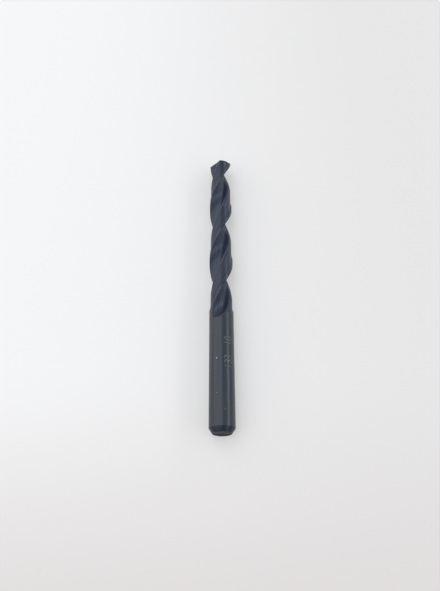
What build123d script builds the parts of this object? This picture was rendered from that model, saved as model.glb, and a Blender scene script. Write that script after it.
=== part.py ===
from build123d import *
import os
from math import asin, atan, atan2, ceil, cos, degrees, pi, radians, sin, sqrt, tan

# A two-flute twist drill bit with a plain round shank, ground from one bar, lying on its side.
# The axis runs along +Y from the middle of the shank's end face to the point, and +Z is up.
# Angles about the axis are counted from +Z towards +X, which is the way the bit turns to cut.
# Lengths are in millimetres and angles in degrees.

# Bar
drill_diameter = 10.0
shank_diameter = 9.95
overall_length = 133.0
shank_chamfer_length = 1.9
shank_chamfer_depth = 1.3

# Flutes: their length runs from the point to where the wheel has climbed out of the bar.
# The heel angle is the arc from a lip's outer corner over the flute to the heel of the next land,
# and the roundness values are shares of the drill's radius that shape the floor and the heel side.
flute_length = 88.0
run_out_length = 9.0
helix_angle = 28.0
web_at_point = 1.6
web_at_run_out = 2.4
heel_angle = 108.0
heel_lean = 50.0
floor_roundness = 0.31
heel_roundness = 0.45

# Lands: a narrow margin keeps the full diameter behind each lip, and the rest is ground lower,
# with a sloping step between the two.
# The relieved part rises to the full diameter again a little before the flutes end.
# Its end is slanted: the rise starts nearer to the point at the margin than at the heel.
margin_width = 1.2
land_relief_depth = 0.5
relief_step_width = 0.5
relief_wheel_radius = 12.0
relief_end_gap = 2.0
relief_end_slant = 3.5

# Point: each flank is a part of a cone whose axis passes ahead of the lip, so the heel lies lower.
point_angle = 118.0
lip_corner_angle = 77.0
flank_cone_half_angle = 30.0
flank_cone_reach = 13.8
flank_cone_lead = 2.4

# Sections that the fluted length is lofted through, and how much of the wheel's climb they take in.
section_spacing = 4.8
run_out_sections = 9
last_climb_share = 0.99
rake_steps = 5
stock_past_point = 1.0

drill_radius = drill_diameter / 2
shank_radius = shank_diameter / 2
relief_radius = drill_radius - land_relief_depth
half_point = radians(point_angle / 2)
corner_along = overall_length - drill_radius / tan(half_point)
helix_lead = pi * drill_diameter / tan(radians(helix_angle))
flute_end = overall_length - flute_length
run_out_start = flute_end + run_out_length
shank_length = run_out_start - last_climb_share * run_out_length
relief_rise_start = flute_end + relief_end_gap + sqrt(2 * relief_wheel_radius * land_relief_depth)
half_turns = (0, 180)


def spaced(start, end, count):
    """Values that divide a stretch into equal steps, both ends included."""
    return [start + (end - start) * step / count for step in range(count + 1)]


def polar(radius, angle):
    """Point of a section at a radius and at an angle ahead of the lip's outer corner."""
    return Vector(radius, 0, 0).rotate(Axis.Z, angle)


def angle_of(point):
    """Angle of a section's point ahead of the lip's outer corner."""
    return degrees(atan2(point.Y, point.X))


def half_web(along):
    """Half the thickness of the web, which grows from the point towards the shank."""
    growth = (web_at_run_out - web_at_point) / (overall_length - run_out_start)
    return (web_at_point + growth * (overall_length - along)) / 2


def width_left(along):
    """Share of the flute's width that is left in the run-out, whose end is round."""
    climbed = max(0.0, run_out_start - along) / run_out_length
    return sqrt(1 - climbed**2)


def relief_floor(along, share):
    """Radius of the relieved land, at a share of its width from the heel (0) to the margin (1)."""
    risen = max(0.0, relief_rise_start + relief_end_slant * share - along)
    return min(drill_radius, relief_radius + risen**2 / (2 * relief_wheel_radius))


def rake_point(lip_distance, web):
    """Point of the straight lip, so far out from the web, carried back down the helix to this section."""
    lip_length = sqrt(drill_radius**2 - web**2)
    drop = (lip_length - lip_distance) / tan(half_point)
    turn = degrees(asin(web / drill_radius)) + 360 * drop / helix_lead
    return Vector(lip_distance, web, 0).rotate(Axis.Z, -turn)


def flute_edges(along):
    """Rake face, floor and heel side of one flute, from the lip's outer corner round to the heel."""
    web = half_web(along)
    width = width_left(along)
    lip_length = sqrt(drill_radius**2 - web**2)
    full_rake = [rake_point(distance, web) for distance in spaced(lip_length, 0, rake_steps)]
    floor_angle = angle_of(full_rake[-1])

    def closed_up(radius, angle):
        """The same point in the run-out, where the flute is narrower and shallower about its floor."""
        depth = (drill_radius - radius) * width**2
        return polar(drill_radius - depth, floor_angle + (angle - floor_angle) * width)

    rake = [closed_up(point.length, angle_of(point)) for point in full_rake]
    heel = closed_up(drill_radius, heel_angle).normalized() * relief_floor(along, 0)
    floor_way = (rake[-1] - rake[-2]).normalized()
    heel_way = polar(1, angle_of(heel) + 90 - (90 - heel_lean) * width)
    floor_handle = rake[-1] + floor_way * (floor_roundness * drill_radius * width)
    heel_handle = heel - heel_way * (heel_roundness * drill_radius * width)
    return [Spline(*rake), Bezier(rake[-1], floor_handle, heel_handle, heel)]


def land_edges(along, heel, next_corner):
    """Relieved land and margin, from the heel to the outer corner of the next lip."""
    margin_start = 180 - degrees(margin_width / drill_radius)
    relief_end = margin_start - degrees(relief_step_width / drill_radius)
    foot = polar(relief_floor(along, 1), relief_end)
    land_middle = polar(relief_floor(along, 0.5), (angle_of(heel) + relief_end) / 2)
    margin = [polar(drill_radius, angle) for angle in spaced(margin_start, next_corner, 2)]
    return [
        ThreePointArc(heel, land_middle, foot),
        Line(foot, margin[0]),
        ThreePointArc(*margin),
    ]


def drill_section(along):
    """Section across the fluted length. Each has the same edges in the same order, for the loft."""
    flute = flute_edges(along)
    lip_corner, heel = flute[0] @ 0, flute[-1] @ 1
    side = flute + land_edges(along, heel, 180 + angle_of(lip_corner))
    outline = [edge.rotate(Axis.Z, half_turn) for half_turn in half_turns for edge in side]
    turn = radians(lip_corner_angle + 360 * (along - corner_along) / helix_lead)
    across = Plane(origin=(0, along, 0), x_dir=(sin(turn), 0, cos(turn)), z_dir=(0, 1, 0))
    return across.location * Face(Wire(outline))


def flank_cone_base(half_turn, cone_height):
    """Plane at the base of the cone that one flank belongs to. Its side meets the middle of the chisel edge."""
    web = web_at_point / 2
    lip_turn = radians(lip_corner_angle + half_turn) - asin(web / drill_radius)
    lip = Plane(origin=(0, overall_length, 0), x_dir=(sin(lip_turn), 0, cos(lip_turn)), z_dir=(0, 1, 0))
    opening = radians(flank_cone_half_angle)
    corner_radius = (flank_cone_reach + drill_radius / sin(half_point)) * sin(opening)
    tilt = half_point - atan(tan(opening) / cos(asin(flank_cone_lead / corner_radius)))
    ahead = flank_cone_lead + web
    height = flank_cone_reach * cos(opening)
    side = sqrt((flank_cone_reach * sin(opening)) ** 2 - ahead**2)
    apex = Vector(-height * sin(tilt) - side * cos(tilt), ahead, height * cos(tilt) - side * sin(tilt))
    base = apex + Vector(sin(tilt), 0, -cos(tilt)) * cone_height
    apex_at, base_at = lip.from_local_coords(apex), lip.from_local_coords(base)
    return Plane(origin=base_at, z_dir=apex_at - base_at)


# Places of the sections: the run-out's follow its round end, and the rest are evenly spaced.
last_climb_angle = degrees(asin(last_climb_share))
climb_angles = spaced(last_climb_angle, 0, run_out_sections)
run_out_places = [run_out_start - run_out_length * sin(radians(angle)) for angle in climb_angles]
fluted_top = overall_length + stock_past_point
flute_sections = ceil((fluted_top - run_out_start) / section_spacing)
flute_places = spaced(run_out_start, fluted_top, flute_sections)

with BuildPart() as drill_bit:
    # The fluted length, from the end of the flutes to a little past the point
    loft([drill_section(along) for along in run_out_places[:-1] + flute_places])

    # The point: two flanks that meet in the chisel edge
    cone_height = 2 * flute_length
    cone_radius = cone_height * tan(radians(flank_cone_half_angle))
    base_centred = (Align.CENTER, Align.CENTER, Align.MIN)
    for half_turn in half_turns:
        with Locations(flank_cone_base(half_turn, cone_height)):
            Cone(cone_radius, 0, cone_height, align=base_centred, mode=Mode.INTERSECT)

    # The shank, with its end chamfered
    with BuildSketch(Plane(origin=(0, 0, 0), x_dir=(1, 0, 0), z_dir=(0, 1, 0))):
        Circle(shank_radius)
    extrude(amount=shank_length)
    end_face = drill_bit.faces().sort_by(Axis.Y)[0]
    chamfer(end_face.edges(), shank_chamfer_depth, shank_chamfer_length, reference=end_face)

os.makedirs("parts", exist_ok=True)
drill_bit.part.label = "drill_bit"
export_step(drill_bit.part, "parts/drill_bit.step")
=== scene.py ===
"""Looks of a steam-oxidised twist drill bit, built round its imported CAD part.

The bit is one piece of high-speed steel that lies on its side. Its shank is drawn out ring by
ring as a turned blank, its flutes as rings that follow the helix, and its point is ground by
two cones. Sizes in the bit's classes are in millimetres and angles in degrees, and places of
vertices are in metres. Each class of the studio names its own units.
"""

import cmath
import logging
import math
from dataclasses import dataclass
from enum import Enum

import bmesh
import bpy
from mathutils import Matrix, Vector


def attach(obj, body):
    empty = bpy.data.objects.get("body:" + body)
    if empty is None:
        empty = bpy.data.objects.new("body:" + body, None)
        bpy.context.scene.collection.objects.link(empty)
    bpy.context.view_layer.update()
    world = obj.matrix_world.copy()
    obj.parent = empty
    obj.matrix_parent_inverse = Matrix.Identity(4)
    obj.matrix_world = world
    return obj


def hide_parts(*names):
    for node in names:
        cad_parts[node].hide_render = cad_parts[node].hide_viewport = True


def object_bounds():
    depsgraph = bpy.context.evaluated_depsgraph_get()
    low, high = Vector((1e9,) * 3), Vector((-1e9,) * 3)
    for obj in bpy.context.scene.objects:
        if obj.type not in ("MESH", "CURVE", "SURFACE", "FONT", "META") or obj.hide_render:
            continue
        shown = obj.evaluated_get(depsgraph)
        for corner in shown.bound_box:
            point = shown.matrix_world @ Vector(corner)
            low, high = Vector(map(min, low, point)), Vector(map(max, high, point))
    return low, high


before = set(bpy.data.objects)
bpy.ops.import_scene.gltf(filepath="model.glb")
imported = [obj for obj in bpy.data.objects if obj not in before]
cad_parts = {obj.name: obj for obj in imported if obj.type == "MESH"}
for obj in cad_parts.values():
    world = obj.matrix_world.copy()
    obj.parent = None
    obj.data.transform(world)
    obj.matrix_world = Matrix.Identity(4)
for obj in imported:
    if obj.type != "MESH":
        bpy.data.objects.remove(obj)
CAD_LOW, CAD_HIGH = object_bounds()

LOG = logging.getLogger("twist_bit")
BODY = "root"
CAD_NODE = "drill_bit"
PIECE = "ground_bit"

# Metres in a millimetre, and the distances in metres below which two places count as one
MM = 0.001
SAME_PLACE = 1e-7
MERGE_DISTANCE = 1e-6

# Height of the photograph in pixels, and the camera's sensor along it in millimetres
PHOTO_HEIGHT = 591
SENSOR_LONG_SIDE = 36.0

Ring = list[Vector]


class Zone(Enum):
    """Part of the bit's surface with a finish of its own. The value is its material slot."""

    SHANK = 0
    CHAMFER = 1
    END_FACE = 2
    FLUTE = 3
    LAND = 4
    MARGIN = 5
    FLANK = 6
    STAMP = 7


class MarkWay(Enum):
    """Way that the fine lines of a ground or turned surface run."""

    AROUND = "around the axis"
    ALONG = "along the axis"
    HELIX = "along the flutes"
    ACROSS = "across the surface"


class SolidWork(Enum):
    """What one closed mesh does to another. The value is the boolean that does it."""

    JOIN = "UNION"
    STAMP = "DIFFERENCE"
    GRIND = "INTERSECT"


# Small helpers


def spaced(start: float, end: float, count: int) -> list[float]:
    """Divides a stretch into equal steps.

    Args:
        start: First value.
        end: Last value.
        count: Number of steps.

    Returns:
        The values, both ends included.
    """
    return [start + (end - start) * step / count for step in range(count + 1)]


def polar(radius: float, angle: float) -> complex:
    """Point of a section at a radius and at an angle ahead of the lip's outer corner."""
    return cmath.rect(radius, math.radians(angle))


def angle_of(point: complex) -> float:
    """Angle of a section's point ahead of the lip's outer corner."""
    return math.degrees(cmath.phase(point))


def on_axis(radius: float, along: float, angle: float) -> Vector:
    """Place in the frame, in metres.

    Args:
        radius: Distance from the bit's axis.
        along: Distance from the shank's end face.
        angle: Angle about the axis from straight up towards +X.

    Returns:
        The place as a vector in metres.
    """
    turn = math.radians(angle)
    return Vector((radius * math.sin(turn), along, radius * math.cos(turn))) * MM


def colour(hex_value: str) -> tuple[float, float, float, float]:
    """Turns an sRGB hex colour to linear light.

    Args:
        hex_value: Six hex digits after a hash sign.

    Returns:
        Red, green, blue and an alpha of 1.
    """
    parts = [int(hex_value[place : place + 2], 16) / 255 for place in (1, 3, 5)]
    linear = [part / 12.92 if part <= 0.04045 else ((part + 0.055) / 1.055) ** 2.4 for part in parts]
    return (linear[0], linear[1], linear[2], 1.0)


def deselect_all() -> None:
    """Leaves edit mode and deselects every object."""
    if bpy.context.mode != "OBJECT":
        bpy.ops.object.mode_set(mode="OBJECT")
    bpy.ops.object.select_all(action="DESELECT")


def select_only(*objects: bpy.types.Object) -> None:
    """Selects some objects and no others.

    Args:
        objects: The objects, of which the first becomes the active one.
    """
    deselect_all()
    for item in objects:
        item.select_set(True)
    bpy.context.view_layer.objects.active = objects[0]


def drawn_out(name: str, rings: list[Ring]) -> bpy.types.Object:
    """Draws a first ring of points out through further rings, and closes both ends.

    Args:
        name: Name of the new object.
        rings: Rings with the same number of points in the same order.

    Returns:
        A closed mesh object whose faces point outwards.
    """
    deselect_all()
    count = len(rings[0])
    bpy.ops.mesh.primitive_circle_add(vertices=count, radius=rings[0][0].length, fill_type="NGON")
    made = bpy.context.object
    made.name = name
    bpy.ops.object.mode_set(mode="EDIT")
    edited = bmesh.from_edit_mesh(made.data)
    edited.verts.ensure_lookup_table()
    for vertex, place in zip(edited.verts, rings[0]):
        vertex.co = place
    bpy.ops.mesh.select_all(action="DESELECT")
    edited.edges.ensure_lookup_table()
    for edge in edited.edges:
        edge.select_set(True)
    for index, ring in enumerate(rings[1:], start=1):
        step = ring[0] - rings[index - 1][0]
        bpy.ops.mesh.extrude_edges_move(TRANSFORM_OT_translate={"value": tuple(step)})
        edited = bmesh.from_edit_mesh(made.data)
        edited.verts.ensure_lookup_table()
        first = (index - 1) * count
        for place, old in zip(ring, edited.verts[first : first + count]):
            new = next(edge.other_vert(old) for edge in old.link_edges if edge.other_vert(old).select)
            new.co = place
    bpy.ops.mesh.edge_face_add()
    bpy.ops.mesh.select_all(action="SELECT")
    bpy.ops.mesh.normals_make_consistent(inside=False)
    bpy.ops.object.mode_set(mode="OBJECT")
    return made


def work_on(target: bpy.types.Object, tool: bpy.types.Object, work: SolidWork) -> None:
    """Works on a target with a tool, and removes the tool.

    Args:
        target: Mesh object that is changed.
        tool: Closed mesh object.
        work: What the tool does to the target.
    """
    select_only(target)
    modifier = target.modifiers.new("work", "BOOLEAN")
    modifier.object = tool
    modifier.operation = work.value
    modifier.solver = "EXACT"
    # A numeral with a hole in it is only stamped when holes are tolerated
    modifier.use_hole_tolerant = work is SolidWork.STAMP
    bpy.ops.object.modifier_apply(modifier=modifier.name)
    bpy.data.objects.remove(tool)


def drop_cap(target: bpy.types.Object, along: float) -> None:
    """Deletes the flat faces that close a mesh at one place along the axis.

    Args:
        target: Mesh object that is opened.
        along: Place of its flat end along the axis.
    """
    select_only(target)
    bpy.ops.object.mode_set(mode="EDIT")
    bpy.ops.mesh.select_all(action="DESELECT")
    edited = bmesh.from_edit_mesh(target.data)
    for face in edited.faces:
        face.select_set(all(abs(vertex.co.y - along * MM) < SAME_PLACE for vertex in face.verts))
    bmesh.update_edit_mesh(target.data)
    bpy.ops.mesh.delete(type="ONLY_FACE")
    bpy.ops.object.mode_set(mode="OBJECT")


def joined(*parts: bpy.types.Object) -> bpy.types.Object:
    """Joins open parts and merges the rings that they share.

    Args:
        parts: Mesh objects, of which the first takes in the others.

    Returns:
        The first object, whose faces point outwards.
    """
    select_only(*parts)
    bpy.ops.object.join()
    bpy.ops.object.mode_set(mode="EDIT")
    bpy.ops.mesh.select_all(action="SELECT")
    bpy.ops.mesh.remove_doubles(threshold=MERGE_DISTANCE)
    bpy.ops.mesh.normals_make_consistent(inside=False)
    bpy.ops.object.mode_set(mode="OBJECT")
    return parts[0]


# The bit's shape


@dataclass
class FlutedLength:
    """Two helical flutes with their lands, from the run-out to past the point.

    The heel angle is the arc from a lip's outer corner over the flute to the heel of the next
    land, and the heel lean is how steeply the flute's side meets it. The roundness values are
    shares of the drill's radius that shape the flute's floor and heel side. The relief is the
    part of each land behind its margin, which is ground lower.
    """

    overall: float
    drill_radius: float = 5.0
    flute_length: float = 88.0
    run_out: float = 9.0
    helix_angle: float = 28.0
    web_at_point: float = 1.6
    web_at_run_out: float = 2.4
    heel_angle: float = 106.0
    heel_lean: float = 72.0
    floor_roundness: float = 0.31
    heel_roundness: float = 0.54
    margin_width: float = 1.2
    relief_depth: float = 0.5
    relief_step: float = 0.5
    relief_wheel: float = 12.0
    relief_end_gap: float = 2.0
    relief_end_slant: float = 3.5
    point_angle: float = 118.0
    lip_corner_angle: float = 77.0
    last_climb_share: float = 0.99
    tip_length: float = 9.0
    stock_past_point: float = 1.0
    run_out_rings: int = 40
    ring_spacing: float = 0.5
    tip_ring_spacing: float = 0.3
    rake_steps: int = 14
    wall_steps: int = 30
    land_steps: int = 20
    relief_steps: int = 3
    margin_steps: int = 8

    @property
    def half_point(self) -> float:
        """Half of the point angle, in radians."""
        return math.radians(self.point_angle / 2)

    @property
    def lead(self) -> float:
        """Length of one turn of the helix."""
        return 2 * math.pi * self.drill_radius / math.tan(math.radians(self.helix_angle))

    @property
    def flute_end(self) -> float:
        """Place along the axis where the flutes end."""
        return self.overall - self.flute_length

    @property
    def run_out_start(self) -> float:
        """Place along the axis where the wheel begins to climb out of the bar."""
        return self.flute_end + self.run_out

    @property
    def shank_length(self) -> float:
        """Length of the plain shank."""
        return self.run_out_start - self.last_climb_share * self.run_out

    @property
    def tip_start(self) -> float:
        """Place along the axis from which the tip is ground on its own."""
        return self.overall - self.tip_length

    def turn_at(self, along: float) -> float:
        """Angle of the lip's outer corner as the helix carries it to a place along the axis."""
        corner = self.overall - self.drill_radius / math.tan(self.half_point)
        return self.lip_corner_angle + 360 * (along - corner) / self.lead

    def half_web(self, along: float) -> float:
        """Half the thickness of the web, which grows from the point towards the shank."""
        growth = (self.web_at_run_out - self.web_at_point) / (self.overall - self.run_out_start)
        return (self.web_at_point + growth * (self.overall - along)) / 2

    def relief_floor(self, along: float, share: float) -> float:
        """Radius of the relieved land.

        Args:
            along: Place along the axis.
            share: Share of the land's width, from the heel at 0 to the margin at 1.

        Returns:
            The radius, which rises to the full one where the relief ends.
        """
        lowest = self.drill_radius - self.relief_depth
        rise_length = math.sqrt(2 * self.relief_wheel * self.relief_depth)
        rise_start = self.flute_end + self.relief_end_gap + rise_length + self.relief_end_slant * share
        risen = max(0.0, rise_start - along)
        return min(self.drill_radius, lowest + risen**2 / (2 * self.relief_wheel))

    def rake_point(self, lip_distance: float, web: float) -> complex:
        """Point of the straight lip, carried back down the helix to one section.

        Args:
            lip_distance: How far out along the lip the point is.
            web: Half the thickness of the web.

        Returns:
            The point in the section.
        """
        lip_length = math.sqrt(self.drill_radius**2 - web**2)
        drop = (lip_length - lip_distance) / math.tan(self.half_point)
        turn = math.asin(web / self.drill_radius) + 2 * math.pi * drop / self.lead
        return complex(lip_distance, web) * cmath.exp(-1j * turn)

    def flute_points(self, along: float) -> list[complex]:
        """Rake face, floor and heel side of one flute.

        Args:
            along: Place of the section along the axis.

        Returns:
            Points from the lip's outer corner to the heel.
        """
        web = self.half_web(along)
        width = math.sqrt(1 - (max(0.0, self.run_out_start - along) / self.run_out) ** 2)
        lip_length = math.sqrt(self.drill_radius**2 - web**2)
        full_rake = [self.rake_point(place, web) for place in spaced(lip_length, 0, self.rake_steps)]
        floor_angle = angle_of(full_rake[-1])

        def closed_up(point: complex) -> complex:
            """The same point in the run-out, where the flute is narrower and shallower."""
            depth = (self.drill_radius - abs(point)) * width**2
            return polar(self.drill_radius - depth, floor_angle + (angle_of(point) - floor_angle) * width)

        rake = [closed_up(point) for point in full_rake]
        heel_at = angle_of(closed_up(polar(self.drill_radius, self.heel_angle)))
        heel = polar(self.relief_floor(along, 0), heel_at)
        floor_way = (rake[-1] - rake[-2]) / abs(rake[-1] - rake[-2])
        heel_way = polar(1, heel_at + 90 - (90 - self.heel_lean) * width)
        start, end = rake[-1], heel
        floor_handle = start + floor_way * self.floor_roundness * self.drill_radius * width
        heel_handle = end - heel_way * self.heel_roundness * self.drill_radius * width
        wall = []
        for share in spaced(0, 1, self.wall_steps)[1:]:
            left = 1 - share
            near = left**3 * start + 3 * left**2 * share * floor_handle
            wall.append(near + 3 * left * share**2 * heel_handle + share**3 * end)
        return rake + wall

    def land_points(self, along: float, heel: complex, next_corner: float) -> list[complex]:
        """Relieved land, its step and the margin.

        Args:
            along: Place of the section along the axis.
            heel: The land's first point.
            next_corner: Angle of the next lip's outer corner.

        Returns:
            Points after the heel and before the next lip's outer corner.
        """
        margin_start = 180 - math.degrees(self.margin_width / self.drill_radius)
        relief_end = margin_start - math.degrees(self.relief_step / self.drill_radius)
        heel_at = angle_of(heel)
        land = []
        for share in spaced(0, 1, self.land_steps)[1:]:
            place = heel_at + (relief_end - heel_at) * share
            land.append(polar(self.relief_floor(along, share), place))
        foot, top = land[-1], polar(self.drill_radius, margin_start)
        step = [foot + (top - foot) * share for share in spaced(0, 1, self.relief_steps)[1:]]
        margin_angles = spaced(margin_start, next_corner, self.margin_steps)[1:-1]
        return land + step + [polar(self.drill_radius, place) for place in margin_angles]

    def ring(self, along: float) -> Ring:
        """Draws the whole section at a place along the axis.

        Args:
            along: Place along the axis.

        Returns:
            The section's ring of places, in metres.
        """
        flute = self.flute_points(along)
        side = flute + self.land_points(along, flute[-1], 180 + angle_of(flute[0]))
        turn = self.turn_at(along)
        halves = [point * half for half in (1, -1) for point in side]
        return [on_axis(abs(point), along, angle_of(point) + turn) for point in halves]

    def build_flutes(self) -> bpy.types.Object:
        """Draws the flutes out from their run-out to the start of the tip.

        Returns:
            A closed mesh object.
        """
        last_climb = math.asin(self.last_climb_share)
        climbs = spaced(last_climb, 0, self.run_out_rings)[:-1]
        places = [self.run_out_start - self.run_out * math.sin(climb) for climb in climbs]
        count = math.ceil((self.tip_start - self.run_out_start) / self.ring_spacing)
        places += spaced(self.run_out_start, self.tip_start, count)
        return drawn_out("flutes", [self.ring(place) for place in places])

    def build_tip(self) -> bpy.types.Object:
        """Draws the tip's blank out to a little past the point.

        Returns:
            A closed mesh object.
        """
        end = self.overall + self.stock_past_point
        count = math.ceil((end - self.tip_start) / self.tip_ring_spacing)
        return drawn_out("tip", [self.ring(place) for place in spaced(self.tip_start, end, count)])


@dataclass
class PointGrinding:
    """Relief-ground point: two big cones whose sides are the flanks, one for each lip.

    The reach is the distance from a cone's apex to the middle of the chisel edge, and the lead
    is how far the cone's axis passes ahead of its lip, which makes the heel lie lower.
    """

    flutes: FlutedLength
    half_angle: float = 30.0
    reach: float = 13.8
    lead: float = 1.3
    cone_height: float = 40.0
    cone_sides: int = 250

    def cone(self, half_turn: float) -> bpy.types.Object:
        """Adds the cone of one flank.

        Args:
            half_turn: 0 for the first lip and 180 for the second.

        Returns:
            A closed cone that holds the tip apart from what its side grinds away.
        """
        web = self.flutes.web_at_point / 2
        radius = self.flutes.drill_radius
        half_point = self.flutes.half_point
        opening = math.radians(self.half_angle)
        corner_radius = (self.reach + radius / math.sin(half_point)) * math.sin(opening)
        tilt = half_point - math.atan(math.tan(opening) / math.cos(math.asin(self.lead / corner_radius)))
        ahead = self.lead + web
        height = self.reach * math.cos(opening)
        side = math.sqrt((self.reach * math.sin(opening)) ** 2 - ahead**2)
        turn = math.radians(self.flutes.lip_corner_angle + half_turn) - math.asin(web / radius)
        along_lip = Vector((math.sin(turn), 0, math.cos(turn)))
        forward = Vector((0, 1, 0))
        past_lip = forward.cross(along_lip)
        apex = (
            forward * (self.flutes.overall + height * math.cos(tilt) - side * math.sin(tilt))
            + past_lip * ahead
            - along_lip * (height * math.sin(tilt) + side * math.cos(tilt))
        )
        way = forward * math.cos(tilt) - along_lip * math.sin(tilt)
        deselect_all()
        bpy.ops.mesh.primitive_cone_add(
            vertices=self.cone_sides,
            radius1=self.cone_height * math.tan(opening) * MM,
            radius2=0,
            depth=self.cone_height * MM,
            location=(apex - way * (self.cone_height / 2)) * MM,
            rotation=way.to_track_quat("Z", "Y").to_euler(),
        )
        made = bpy.context.object
        bpy.ops.object.transform_apply(location=True, rotation=True, scale=True)
        return made

    def grind(self, tip: bpy.types.Object) -> None:
        """Grinds both flanks.

        Args:
            tip: The tip's blank.
        """
        for half_turn in (0, 180):
            work_on(tip, self.cone(half_turn), SolidWork.GRIND)


@dataclass(frozen=True)
class Numeral:
    """Stamped numeral on the shank: its text and where it starts."""

    text: str
    along: float


@dataclass
class Shank:
    """Plain round shank with a chamfered end and stamped numerals.

    The digit share is the height of a numeral as a share of its text size, the narrowing its
    width as a share of the font's own, and the boldness how far its strokes are widened. Points
    of a stroke that lie closer than the merge distance become one.
    """

    length: float
    radius: float = 4.975
    chamfer_length: float = 1.9
    chamfer_depth: float = 1.3
    edge_radius: float = 0.12
    edge_steps: int = 4
    sides: int = 360
    joint_overlap: float = 0.01
    numerals: tuple[Numeral, ...] = (Numeral("10", 33.2), Numeral("133", 23.6))
    numeral_angle: float = 33.0
    numeral_height: float = 3.6
    numeral_narrowing: float = 0.74
    numeral_depth: float = 0.07
    numeral_boldness: float = 0.02
    numeral_merge: float = 1e-5
    digit_share: float = 0.7
    curve_steps: int = 6
    bend_cuts: int = 2

    def rounded(self, corner: complex, before: complex, after: complex) -> list[complex]:
        """Points of a small arc that rounds one corner of the profile.

        Args:
            corner: The sharp corner, as distance along the axis and radius.
            before: The profile's point before it.
            after: The profile's point after it.

        Returns:
            Points on the rounded edge.
        """
        start = corner + (before - corner) / abs(before - corner) * self.edge_radius
        end = corner + (after - corner) / abs(after - corner) * self.edge_radius
        shares = spaced(0, 1, self.edge_steps)
        return [(1 - s) ** 2 * start + 2 * s * (1 - s) * corner + s**2 * end for s in shares]

    def profile(self) -> list[complex]:
        """Draws the shank's outline from its end face to where the flutes begin.

        Returns:
            Points as distance along the axis and radius.
        """
        axis = complex(0, 0)
        face_edge = complex(0, self.radius - self.chamfer_depth)
        shoulder = complex(self.chamfer_length, self.radius)
        top = complex(self.length + self.joint_overlap, self.radius)
        face_corner = self.rounded(face_edge, axis, shoulder)
        shoulder_corner = self.rounded(shoulder, face_edge, top)
        return face_corner + shoulder_corner + [top]

    def numeral_cutter(self, numeral: Numeral) -> bpy.types.Object:
        """Makes the punch of one numeral, curved to the shank.

        Args:
            numeral: The numeral to stamp.

        Returns:
            A closed mesh that reaches a little into the shank's surface.
        """
        deselect_all()
        bpy.ops.object.text_add()
        made = bpy.context.object
        made.data.body = numeral.text
        made.data.size = self.numeral_height / self.digit_share
        made.data.align_y = "CENTER"
        made.data.offset = self.numeral_boldness
        made.data.extrude = self.numeral_depth
        made.data.resolution_u = self.curve_steps
        bpy.ops.object.convert(target="MESH")
        bpy.ops.object.mode_set(mode="EDIT")
        bpy.ops.mesh.select_all(action="SELECT")
        bpy.ops.mesh.remove_doubles(threshold=self.numeral_merge)
        bpy.ops.mesh.subdivide(number_cuts=self.bend_cuts)
        edited = bmesh.from_edit_mesh(made.data)
        for vertex in edited.verts:
            across, up, out = vertex.co
            around = self.numeral_angle - math.degrees(up / self.radius)
            along = numeral.along + across * self.numeral_narrowing
            vertex.co = on_axis(self.radius + out, along, around)
        bpy.ops.mesh.normals_make_consistent(inside=False)
        bpy.ops.object.mode_set(mode="OBJECT")
        return made

    def build(self) -> bpy.types.Object:
        """Turns the shank and stamps its numerals.

        Returns:
            A closed mesh object.
        """
        angles = [360 * side / self.sides for side in range(self.sides)]
        rings = [[on_axis(point.imag, point.real, angle) for angle in angles] for point in self.profile()]
        made = drawn_out("shank", rings)
        for numeral in self.numerals:
            work_on(made, self.numeral_cutter(numeral), SolidWork.STAMP)
        return made


# Finishes


# Range that most values of a noise pattern lie in
NOISE_LOW = 0.3
NOISE_HIGH = 0.7

# Fineness of the grinding lines on X, Y and Z, as shares. A small share draws them out that way.
LINE_SHARES: dict[MarkWay, tuple[float, float, float]] = {
    MarkWay.AROUND: (0.03, 1.0, 0.03),
    MarkWay.ALONG: (1.0, 0.02, 1.0),
    MarkWay.HELIX: (1.0, 0.02, 1.0),
    MarkWay.ACROSS: (0.15, 1.0, 1.0),
}


def add_node(
    tree: bpy.types.NodeTree,
    kind: str,
    settings: dict[str, object] | None = None,
    inputs: dict[str | int, object] | None = None,
) -> bpy.types.Node:
    """Adds a node with its settings, values and links.

    Args:
        tree: Node tree that gets the node.
        kind: The node's type name.
        settings: Attributes to set on it.
        inputs: Socket name or number to a value, or to the socket it is linked from.

    Returns:
        The new node.
    """
    node = tree.nodes.new(kind)
    for name, value in (settings or {}).items():
        setattr(node, name, value)
    for name, value in (inputs or {}).items():
        if isinstance(value, bpy.types.NodeSocket):
            tree.links.new(value, node.inputs[name])
        else:
            node.inputs[name].default_value = value
    return node


@dataclass(frozen=True)
class WearAndShadeMark:
    """Small round mark on the surface, with its place, size and colour. Most are nicks, stains and
    specks; one is painted shade.

    The core is the share of its size that has the full colour, which then fades to its edge.
    """

    along: float
    angle: float
    radius: float
    size: float
    tone: str
    core: float = 0.4


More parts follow.
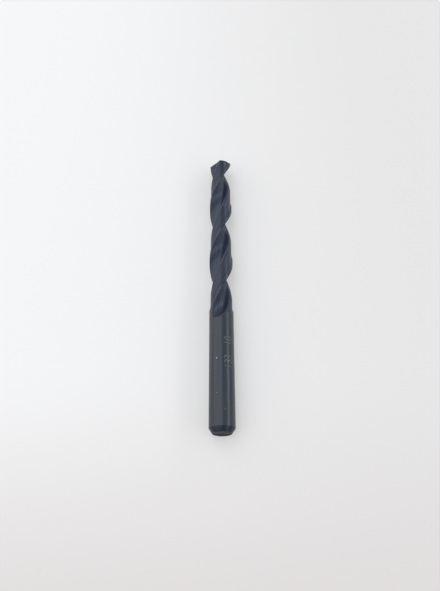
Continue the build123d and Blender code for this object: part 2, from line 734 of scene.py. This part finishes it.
@dataclass(frozen=True)
class OxideFinish:
    """Steam-oxidised high-speed steel: a thin blue-black skin over fine grinding lines.

    The skin is a dull oxide that holds oil. It mirrors less than bare steel does, so its metallic
    share is below 1. A dark and a light tone follow the grinding lines, and a warmer tone lies in
    soft patches of the mottle size. Sizes, spacings and depths are in millimetres.
    """

    name: str
    dark: str
    light: str
    warm: str
    roughness: float
    marks: MarkWay
    mark_spacing: float
    mark_depth: float
    mark_detail: float = 3.0
    mark_contrast: float = 0.6
    bump_strength: float = 0.5
    mottle_size: float = 7.0
    mottle_detail: float = 2.0
    mottle_contrast: float = 0.5
    warm_share: float = 0.35
    warm_from: float = 0.42
    warm_to: float = 0.68
    gloss_spread: float = 0.03
    metallic: float = 0.7

    def untwisted(
        self, tree: bpy.types.NodeTree, place: bpy.types.NodeSocket, lead: float
    ) -> bpy.types.NodeSocket:
        """Turns places back down the helix, so that the flutes run straight in the pattern.

        Args:
            tree: The material's node tree.
            place: Socket with Object coordinates.
            lead: Length of one turn of the helix, in millimetres.

        Returns:
            Socket with the turned places.
        """
        axes = add_node(tree, "ShaderNodeSeparateXYZ", inputs={0: place})
        turn = add_node(
            tree,
            "ShaderNodeMath",
            {"operation": "MULTIPLY"},
            {0: axes.outputs["Y"], 1: -2 * math.pi / (lead * MM)},
        )
        turned = add_node(
            tree,
            "ShaderNodeVectorRotate",
            {"rotation_type": "Y_AXIS"},
            {"Vector": place, "Angle": turn.outputs[0]},
        )
        return turned.outputs[0]

    def grinding_lines(
        self, tree: bpy.types.NodeTree, place: bpy.types.NodeSocket, lead: float
    ) -> bpy.types.NodeSocket:
        """Draws the grinding lines as noise that is stretched along them.

        Args:
            tree: The material's node tree.
            place: Socket with Object coordinates.
            lead: Length of one turn of the helix, in millimetres.

        Returns:
            Socket with the height of the lines.
        """
        followed = self.untwisted(tree, place, lead) if self.marks is MarkWay.HELIX else place
        fineness = 1 / (self.mark_spacing * MM)
        scale = [fineness * share for share in LINE_SHARES[self.marks]]
        stretched = add_node(
            tree, "ShaderNodeVectorMath", {"operation": "MULTIPLY"}, {0: followed, 1: scale}
        )
        lines = add_node(
            tree,
            "ShaderNodeTexNoise",
            inputs={
                "Vector": stretched.outputs[0],
                "Scale": 1.0,
                "Detail": self.mark_detail,
                "Roughness": self.mark_contrast,
            },
        )
        return lines.outputs["Fac"]

    def skin_tone(
        self, tree: bpy.types.NodeTree, lines: bpy.types.NodeSocket, mottle: bpy.types.NodeSocket
    ) -> bpy.types.NodeSocket:
        """Mixes the skin's three tones.

        Args:
            tree: The material's node tree.
            lines: Socket with the grinding lines.
            mottle: Socket with the soft patches.

        Returns:
            Socket with the colour.
        """
        line_share = add_node(
            tree,
            "ShaderNodeMapRange",
            inputs={"Value": lines, "From Min": NOISE_LOW, "From Max": NOISE_HIGH},
        )
        steel = add_node(
            tree,
            "ShaderNodeMix",
            {"data_type": "RGBA"},
            {"Factor": line_share.outputs[0], "A": colour(self.dark), "B": colour(self.light)},
        )
        warm_share = add_node(
            tree,
            "ShaderNodeMapRange",
            inputs={
                "Value": mottle,
                "From Min": self.warm_from,
                "From Max": self.warm_to,
                "To Max": self.warm_share,
            },
        )
        skin = add_node(
            tree,
            "ShaderNodeMix",
            {"data_type": "RGBA"},
            {"Factor": warm_share.outputs[0], "A": steel.outputs["Result"], "B": colour(self.warm)},
        )
        return skin.outputs["Result"]

    def worn_and_shaded(
        self,
        tree: bpy.types.NodeTree,
        place: bpy.types.NodeSocket,
        tone: bpy.types.NodeSocket,
        mark: WearAndShadeMark,
    ) -> bpy.types.NodeSocket:
        """Mixes one mark into a colour, which is a nick, stain, speck or patch of painted shade.

        Args:
            tree: The material's node tree.
            place: Socket with Object coordinates.
            tone: Socket with the colour so far.
            mark: The mark.

        Returns:
            Socket with the colour and the mark.
        """
        centre = on_axis(mark.radius, mark.along, mark.angle)
        away = add_node(
            tree, "ShaderNodeVectorMath", {"operation": "DISTANCE"}, {0: place, 1: tuple(centre)}
        )
        share = add_node(
            tree,
            "ShaderNodeMapRange",
            inputs={
                "Value": away.outputs["Value"],
                "From Min": mark.core * mark.size * MM,
                "From Max": mark.size * MM,
                "To Min": 1.0,
                "To Max": 0.0,
            },
        )
        mixed = add_node(
            tree,
            "ShaderNodeMix",
            {"data_type": "RGBA"},
            {"Factor": share.outputs[0], "A": tone, "B": colour(mark.tone)},
        )
        return mixed.outputs["Result"]

    def build(self, lead: float, wear_and_shade: tuple[WearAndShadeMark, ...] = ()) -> bpy.types.Material:
        """Makes the material.

        Args:
            lead: Length of one turn of the helix, in millimetres.
            wear_and_shade: Marks that this surface carries, which are nicks, stains, specks or painted
                shade.

        Returns:
            A node material that reads Object coordinates.
        """
        made = bpy.data.materials.new(self.name)
        made.use_nodes = True
        tree = made.node_tree
        place = add_node(tree, "ShaderNodeTexCoord").outputs["Object"]
        lines = self.grinding_lines(tree, place, lead)
        mottle_noise = add_node(
            tree,
            "ShaderNodeTexNoise",
            inputs={
                "Vector": place,
                "Scale": 1 / (self.mottle_size * MM),
                "Detail": self.mottle_detail,
                "Roughness": self.mottle_contrast,
            },
        )
        mottle = mottle_noise.outputs["Fac"]
        tone = self.skin_tone(tree, lines, mottle)
        for mark in wear_and_shade:
            tone = self.worn_and_shaded(tree, place, tone, mark)
        gloss = add_node(
            tree,
            "ShaderNodeMapRange",
            inputs={
                "Value": mottle,
                "From Min": NOISE_LOW,
                "From Max": NOISE_HIGH,
                "To Min": self.roughness - self.gloss_spread,
                "To Max": self.roughness + self.gloss_spread,
            },
        )
        bump = add_node(
            tree,
            "ShaderNodeBump",
            inputs={
                "Height": lines,
                "Strength": self.bump_strength,
                "Distance": self.mark_depth * MM,
            },
        )
        shader = tree.nodes["Principled BSDF"]
        shader.inputs["Metallic"].default_value = self.metallic
        tree.links.new(tone, shader.inputs["Base Color"])
        tree.links.new(gloss.outputs[0], shader.inputs["Roughness"])
        tree.links.new(bump.outputs[0], shader.inputs["Normal"])
        return made


# Real grinding lines lie a few hundredths of a millimetre apart. That is too fine to show at the
# photograph's distance, so every finish draws them as coarse as they need to be to be seen.
FINISHES: dict[Zone, OxideFinish] = {
    # The smoothest skin: even grey with long soft stripes that run along the shank, partly scratches and
    # partly painted reflection of the surroundings
    Zone.SHANK: OxideFinish(
        name="steam_oxide_ground_shank",
        dark="#3c4249",
        light="#484e56",
        warm="#494847",
        roughness=0.29,
        marks=MarkWay.ALONG,
        mark_spacing=0.9,
        mark_depth=0.0003,
    ),
    # A dark violet-blue band round the end, with the tool's rings in it
    Zone.CHAMFER: OxideFinish(
        name="steam_oxide_turned_chamfer",
        dark="#292b37",
        light="#333541",
        warm="#313139",
        roughness=0.3,
        marks=MarkWay.AROUND,
        mark_spacing=0.25,
        mark_depth=0.008,
    ),
    # A dull face that is greyer than the chamfer round it
    Zone.END_FACE: OxideFinish(
        name="steam_oxide_faced_end",
        dark="#3c3c46",
        light="#4b4b56",
        warm="#45434a",
        roughness=0.7,
        marks=MarkWay.ACROSS,
        mark_spacing=0.5,
        mark_depth=0.008,
    ),
    # Deep blue-grey hollows, with streaks that the wheel left along the helix
    Zone.FLUTE: OxideFinish(
        name="steam_oxide_ground_flute",
        dark="#323948",
        light="#4b5463",
        warm="#454656",
        roughness=0.43,
        marks=MarkWay.HELIX,
        mark_spacing=1.0,
        mark_depth=0.012,
    ),
    # The relieved backs of the lands: darker, with a satin sheen
    Zone.LAND: OxideFinish(
        name="steam_oxide_relieved_land",
        dark="#2c323e",
        light="#434a57",
        warm="#413f4d",
        roughness=0.36,
        marks=MarkWay.HELIX,
        mark_spacing=1.0,
        mark_depth=0.008,
    ),
    # Narrow ribbons at full diameter that catch a little more light
    Zone.MARGIN: OxideFinish(
        name="steam_oxide_ground_margin",
        dark="#383e49",
        light="#454b56",
        warm="#454652",
        roughness=0.3,
        marks=MarkWay.AROUND,
        mark_spacing=0.4,
        mark_depth=0.004,
    ),
    # Matt grey flanks with the lines of the point's grinding across them
    Zone.FLANK: OxideFinish(
        name="steam_oxide_ground_flank",
        dark="#3b424c",
        light="#4a515a",
        warm="#474750",
        roughness=0.36,
        marks=MarkWay.ACROSS,
        mark_spacing=0.4,
        mark_depth=0.01,
    ),
    # Faint grooves whose oxide is thin, so that a little bare grey shows
    Zone.STAMP: OxideFinish(
        name="steam_oxide_stamped_groove",
        dark="#606260",
        light="#6f716e",
        warm="#67655f",
        roughness=0.5,
        marks=MarkWay.ACROSS,
        mark_spacing=0.5,
        mark_depth=0.006,
    ),
}

# A nick with a bright rim beside it, a dark stain low on the right and two pale specks
SHANK_WEAR: tuple[WearAndShadeMark, ...] = (
    WearAndShadeMark(along=27.3, angle=-16.6, radius=4.975, size=0.42, tone="#202126"),
    WearAndShadeMark(along=27.66, angle=-23.6, radius=4.975, size=0.36, tone="#a9abb2"),
    WearAndShadeMark(along=24.1, angle=76.0, radius=4.975, size=0.9, tone="#1c1c20"),
    WearAndShadeMark(along=7.9, angle=9.2, radius=4.975, size=0.25, tone="#77797c"),
    WearAndShadeMark(along=14.0, angle=-24.3, radius=4.975, size=0.28, tone="#70737a"),
)

# Bright specks where the land meets its flank
POINT_SPECKS: tuple[WearAndShadeMark, ...] = (
    WearAndShadeMark(along=127.9, angle=22.3, radius=4.5, size=0.28, tone="#8b949c"),
    WearAndShadeMark(along=127.4, angle=30.6, radius=4.5, size=0.24, tone="#7f8890"),
    WearAndShadeMark(along=128.6, angle=54.0, radius=4.5, size=0.3, tone="#8b949c"),
)

# Painted shade that makes the faced end darkest towards the floor
END_SHADE: tuple[WearAndShadeMark, ...] = (
    WearAndShadeMark(along=0.0, angle=180.0, radius=3.4, size=4.6, tone="#15151d"),
)

# The faced end's entry is painted shade; the other entries are nicks, stains and specks
WEAR_AND_SHADE: dict[Zone, tuple[WearAndShadeMark, ...]] = {
    Zone.SHANK: SHANK_WEAR,
    Zone.END_FACE: END_SHADE,
    Zone.LAND: POINT_SPECKS,
    Zone.FLANK: POINT_SPECKS,
}


@dataclass
class TwistBit:
    """The whole bit as one piece, with its zones dressed.

    A slope is the cosine between a face's normal and the axis or the radius, above which the
    face counts as that zone. A slack is how far the zone's faces may lie below its own radius.
    """

    flutes: FlutedLength
    shank: Shank
    grinding: PointGrinding
    smooth_angle: float = 30.0
    end_face_slope: float = 0.95
    flank_slope: float = 0.4
    margin_slope: float = 0.97
    land_slope: float = 0.93
    margin_slack: float = 0.03
    land_slack: float = 0.1
    groove_slack: float = 0.02
    groove_clearance: float = 0.5
    shank_skin_past_climb: float = 1.0

    def shank_zone_of(self, along: float, away: float, slope: float) -> Zone:
        """Names the zone of one of the shank's faces.

        Args:
            along: Place of the face along the axis.
            away: Its distance from the axis.
            slope: Cosine between its normal and the axis.

        Returns:
            The zone.
        """
        if slope < -self.end_face_slope:
            return Zone.END_FACE
        if along < self.shank.chamfer_length:
            return Zone.CHAMFER
        sunk = away < self.shank.radius - self.groove_slack
        clear = along < self.shank.length - self.groove_clearance
        return Zone.STAMP if sunk and clear else Zone.SHANK

    def zone_of(self, centre: Vector, normal: Vector) -> Zone:
        """Names the zone of a face by its place and normal.

        Args:
            centre: The face's centre, in metres.
            normal: The face's normal.

        Returns:
            The zone.
        """
        along = centre.y / MM
        away = math.hypot(centre.x, centre.z) / MM
        if along < self.shank.length:
            return self.shank_zone_of(along, away, normal.y)
        if normal.y > self.flank_slope and along > self.flutes.tip_start:
            return Zone.FLANK
        outward = (centre.x * normal.x + centre.z * normal.z) / (away * MM)
        if outward > self.margin_slope and away > self.flutes.drill_radius - self.margin_slack:
            climbing = along < self.flutes.run_out_start - self.shank_skin_past_climb
            return Zone.SHANK if climbing else Zone.MARGIN
        land_radius = self.flutes.drill_radius - self.flutes.relief_depth
        if outward > self.land_slope and away > land_radius - self.land_slack:
            return Zone.LAND
        return Zone.FLUTE

    def dress(self, made: bpy.types.Object) -> None:
        """Gives each face the finish of its zone.

        Args:
            made: The bit's mesh object.
        """
        made.data.materials.clear()
        for zone in Zone:
            finish = FINISHES[zone].build(self.flutes.lead, WEAR_AND_SHADE.get(zone, ()))
            made.data.materials.append(finish)
        for face in made.data.polygons:
            face.material_index = self.zone_of(face.center, face.normal).value

    def build(self) -> bpy.types.Object:
        """Builds, joins and dresses the bit.

        Returns:
            The finished piece, which stands for the CAD node.
        """
        flutes = self.flutes.build_flutes()
        tip = self.flutes.build_tip()
        self.grinding.grind(tip)
        drop_cap(flutes, self.flutes.tip_start)
        drop_cap(tip, self.flutes.tip_start)
        body = joined(flutes, tip)
        work_on(body, self.shank.build(), SolidWork.JOIN)
        body.name = PIECE
        body.data.name = PIECE
        select_only(body)
        bpy.ops.object.shade_smooth_by_angle(angle=math.radians(self.smooth_angle))
        self.dress(body)
        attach(body, BODY)
        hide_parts(CAD_NODE)
        LOG.info("%s: %d faces", body.name, len(body.data.polygons))
        return body


# The studio


@dataclass(frozen=True)
class PaperFloor:
    """Pale matt paper under the bit, with its size and fades in metres.

    It gives the eye a soft white ground with painted shade, which turns it a little greyer to the right
    and darker and warmer in front of the bit. A share of it glows to the camera only, which keeps the
    shadow faint.
    """

    size: float = 4.0
    left_tone: str = "#f5f5f4"
    # The right and front tones are painted shade
    right_shade_tone: str = "#e9e8e6"
    front_shade_tone: str = "#e2dddb"
    side_fade: float = 0.1
    front_fade_from: float = 0.03
    front_fade_to: float = -0.07
    roughness: float = 0.9
    specular: float = 0.2
    glow_share: float = 0.38
    glow_strength: float = 0.97

    def tone(self, tree: bpy.types.NodeTree) -> bpy.types.NodeSocket:
        """Fades the paper's three tones into each other; the right and front tones are painted shade.

        Args:
            tree: The material's node tree.

        Returns:
            Socket with the colour.
        """
        place = add_node(tree, "ShaderNodeTexCoord").outputs["Object"]
        axes = add_node(tree, "ShaderNodeSeparateXYZ", inputs={0: place})
        rightward = add_node(
            tree,
            "ShaderNodeMapRange",
            {"interpolation_type": "SMOOTHSTEP"},
            {"Value": axes.outputs["X"], "From Min": -self.side_fade, "From Max": self.side_fade},
        )
        across = add_node(
            tree,
            "ShaderNodeMix",
            {"data_type": "RGBA"},
            {
                "Factor": rightward.outputs[0],
                "A": colour(self.left_tone),
                "B": colour(self.right_shade_tone),
            },
        )
        forward = add_node(
            tree,
            "ShaderNodeMapRange",
            {"interpolation_type": "SMOOTHSTEP"},
            {
                "Value": axes.outputs["Y"],
                "From Min": self.front_fade_from,
                "From Max": self.front_fade_to,
            },
        )
        whole = add_node(
            tree,
            "ShaderNodeMix",
            {"data_type": "RGBA"},
            {
                "Factor": forward.outputs[0],
                "A": across.outputs["Result"],
                "B": colour(self.front_shade_tone),
            },
        )
        return whole.outputs["Result"]

    def material(self) -> bpy.types.Material:
        """Makes the paper's material.

        Returns:
            A matt material with a glow that only the camera sees.
        """
        made = bpy.data.materials.new("pale_paper")
        made.use_nodes = True
        tree = made.node_tree
        tone = self.tone(tree)
        paper = tree.nodes["Principled BSDF"]
        paper.inputs["Roughness"].default_value = self.roughness
        paper.inputs["Specular IOR Level"].default_value = self.specular
        tree.links.new(tone, paper.inputs["Base Color"])
        glow = add_node(
            tree, "ShaderNodeEmission", inputs={"Color": tone, "Strength": self.glow_strength}
        )
        seen = add_node(tree, "ShaderNodeLightPath").outputs["Is Camera Ray"]
        share = add_node(
            tree, "ShaderNodeMath", {"operation": "MULTIPLY"}, {0: seen, 1: self.glow_share}
        )
        both = add_node(
            tree,
            "ShaderNodeMixShader",
            inputs={0: share.outputs[0], 1: paper.outputs[0], 2: glow.outputs[0]},
        )
        tree.links.new(both.outputs[0], tree.nodes["Material Output"].inputs["Surface"])
        return made

    def build(self, height: float) -> bpy.types.Object:
        """Lays the paper.

        Args:
            height: Height of the floor, in metres.

        Returns:
            The floor, which belongs to the studio.
        """
        deselect_all()
        bpy.ops.mesh.primitive_plane_add(size=self.size, location=(0, 0, height))
        made = bpy.context.object
        made.name = "studio_floor"
        made.data.materials.append(self.material())
        LOG.info("%s: laid at %.4f m", made.name, height)
        return made


@dataclass(frozen=True)
class Softbox:
    """Long softbox that hangs beside the bit's axis.

    Its angle about the axis is from straight up towards +X, and its width across the axis is in
    metres. A face of brightness 1 is white.
    """

    name: str
    angle: float
    width: float
    brightness: float
    tone: str
    distance: float = 0.7
    length: float = 2.6
    middle: float = 0.4

    def build(self) -> bpy.types.Object:
        """Hangs the softbox.

        Returns:
            The light.
        """
        turn = math.radians(self.angle)
        data = bpy.data.lights.new(self.name, "AREA")
        data.shape = "RECTANGLE"
        data.size = self.width
        data.size_y = self.length
        data.energy = self.brightness * math.pi * self.width * self.length
        data.color = colour(self.tone)[:3]
        made = bpy.data.objects.new(self.name, data)
        away = Vector((math.sin(turn), 0, math.cos(turn))) * self.distance
        made.location = away + Vector((0, self.middle, 0))
        made.rotation_euler = (0, turn, 0)
        bpy.context.scene.collection.objects.link(made)
        LOG.info("%s: hung at %.0f degrees", made.name, self.angle)
        return made


@dataclass(frozen=True)
class PhotoCamera:
    """Camera that sees the bit as the photograph does.

    The focal length is in pixels of the photograph, the place in millimetres and the clipping
    distances in metres.
    """

    focal_pixels: float = 500.0
    height: float = 182.44
    behind: float = -45.08
    aside: float = -4.756
    pitch: float = 60.624
    heading: float = -2.352
    roll: float = 2.402
    nearest: float = 0.01
    furthest: float = 10.0

    def build(self) -> bpy.types.Object:
        """Places the camera as the photograph's perspective gives it.

        Returns:
            The scene's camera.
        """
        head = math.radians(self.heading)
        pitch = math.radians(self.pitch)
        roll = math.radians(self.roll)
        level_right = Vector((math.cos(head), math.sin(head), 0))
        level_ahead = Vector((-math.sin(head), math.cos(head), 0))
        ahead = level_ahead * math.cos(pitch) - Vector((0, 0, math.sin(pitch)))
        level_up = level_ahead * math.sin(pitch) + Vector((0, 0, math.cos(pitch)))
        right = level_right * math.cos(roll) + level_up * math.sin(roll)
        up = level_up * math.cos(roll) - level_right * math.sin(roll)
        data = bpy.data.cameras.new("photo_camera")
        data.sensor_width = SENSOR_LONG_SIDE
        data.lens = self.focal_pixels * SENSOR_LONG_SIDE / PHOTO_HEIGHT
        data.clip_start = self.nearest
        data.clip_end = self.furthest
        made = bpy.data.objects.new("photo_camera", data)
        turn = Matrix((right, up, -ahead)).transposed().to_4x4()
        place = Vector((self.aside, self.behind, self.height)) * MM
        made.matrix_world = Matrix.Translation(place) @ turn
        bpy.context.scene.collection.objects.link(made)
        bpy.context.scene.camera = made
        return made


@dataclass(frozen=True)
class Studio:
    """Pale floor, a dim room, three softboxes with most light from the left, and the camera."""

    floor_height: float
    floor: PaperFloor = PaperFloor()
    softboxes: tuple[Softbox, ...] = (
        Softbox("overhead_softbox", -25, 0.65, 0.85, "#f2f6ff"),
        Softbox("left_softbox", -68, 0.43, 0.75, "#fff8f0"),
        Softbox("right_strip", 58, 0.2, 1.9, "#f8f8fc"),
    )
    camera: PhotoCamera = PhotoCamera()
    room_tone: str = "#f5f7fa"
    room_strength: float = 0.58

    def build_room(self) -> None:
        """Fills the room with dim even light."""
        room = bpy.data.worlds.new("soft_room")
        room.use_nodes = True
        sky = room.node_tree.nodes["Background"]
        sky.inputs["Color"].default_value = colour(self.room_tone)
        sky.inputs["Strength"].default_value = self.room_strength
        bpy.context.scene.world = room

    def build(self) -> None:
        """Sets the studio up."""
        self.floor.build(self.floor_height)
        self.build_room()
        for softbox in self.softboxes:
            softbox.build()
        self.camera.build()
        bpy.context.scene.view_settings.view_transform = "Standard"


def main() -> None:
    """Builds the bit and the studio."""
    logging.basicConfig(level=logging.INFO)
    flutes = FlutedLength(overall=round(CAD_HIGH.y / MM, 1))
    shank = Shank(length=flutes.shank_length)
    TwistBit(flutes, shank, PointGrinding(flutes)).build()
    Studio(floor_height=CAD_LOW.z).build()


if __name__ == "__main__":
    main()
